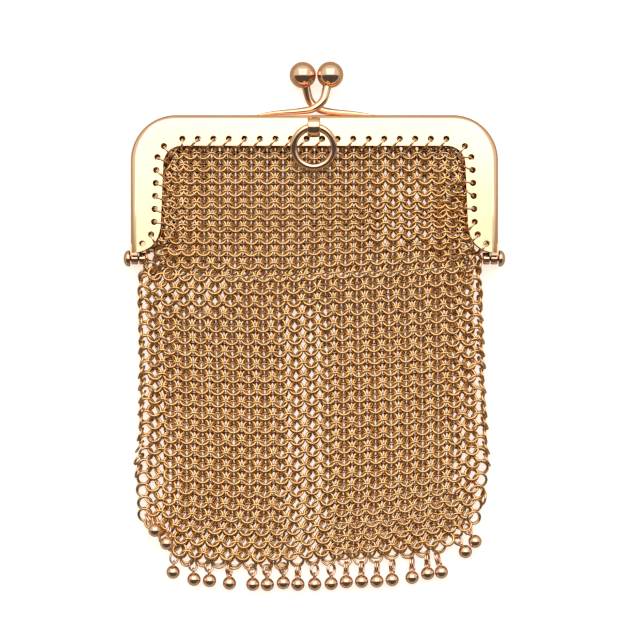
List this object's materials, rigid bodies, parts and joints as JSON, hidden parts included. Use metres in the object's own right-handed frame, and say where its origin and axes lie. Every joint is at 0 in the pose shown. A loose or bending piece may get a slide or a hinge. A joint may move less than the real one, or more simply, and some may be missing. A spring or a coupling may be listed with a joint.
{
  "type": "metal mesh coin purse",
  "caption": "ring mesh coin purse with a hinged kiss-lock frame, a suspension ring and a fringe of ball drops, lying on its back",
  "frame": {"origin": "on the surface the purse lies on, under the middle of its bounding box", "axes": "+X to the right seen from the front, +Y from the hem towards the clasp, +Z out of the purse's front, up from the surface"},
  "size_m": [0.0636, 0.0883, 0.0083],
  "materials": {
    "frame_gold": "bright polished yellow gold",
    "rose_gold": "polished rose gold",
    "mesh_gold": "satin yellow gold wire"
  },
  "bodies": {
    "purse": {"front_frame": "frame_gold", "back_frame": "frame_gold", "mesh_bag": "mesh_gold", "hinge_pin_right": "rose_gold", "hinge_pin_left": "rose_gold", "ball_drop_01": "rose_gold", "ball_drop_02": "rose_gold", "ball_drop_03": "rose_gold", "ball_drop_04": "rose_gold", "ball_drop_05": "rose_gold", "ball_drop_06": "rose_gold", "ball_drop_07": "rose_gold", "ball_drop_08": "rose_gold", "ball_drop_09": "rose_gold", "ball_drop_10": "rose_gold", "ball_drop_11": "rose_gold", "ball_drop_12": "rose_gold", "ball_drop_13": "rose_gold", "ball_drop_14": "rose_gold", "ball_drop_15": "rose_gold", "ball_drop_16": "rose_gold", "ball_drop_17": "rose_gold", "ball_drop_18": "rose_gold", "ball_drop_19": "rose_gold", "ball_drop_20": "rose_gold", "ball_drop_21": "rose_gold"},
    "ring": {"suspension_ring": "rose_gold"}
  },
  "joints": [
    {"name": "ring_swing", "type": "hinge", "parent": "purse", "child": "ring", "pos_m": [-0.0001, 0.03314, 0.00665], "axis": [-1, 0, 0], "range_deg": [0, 200]}
  ]
}
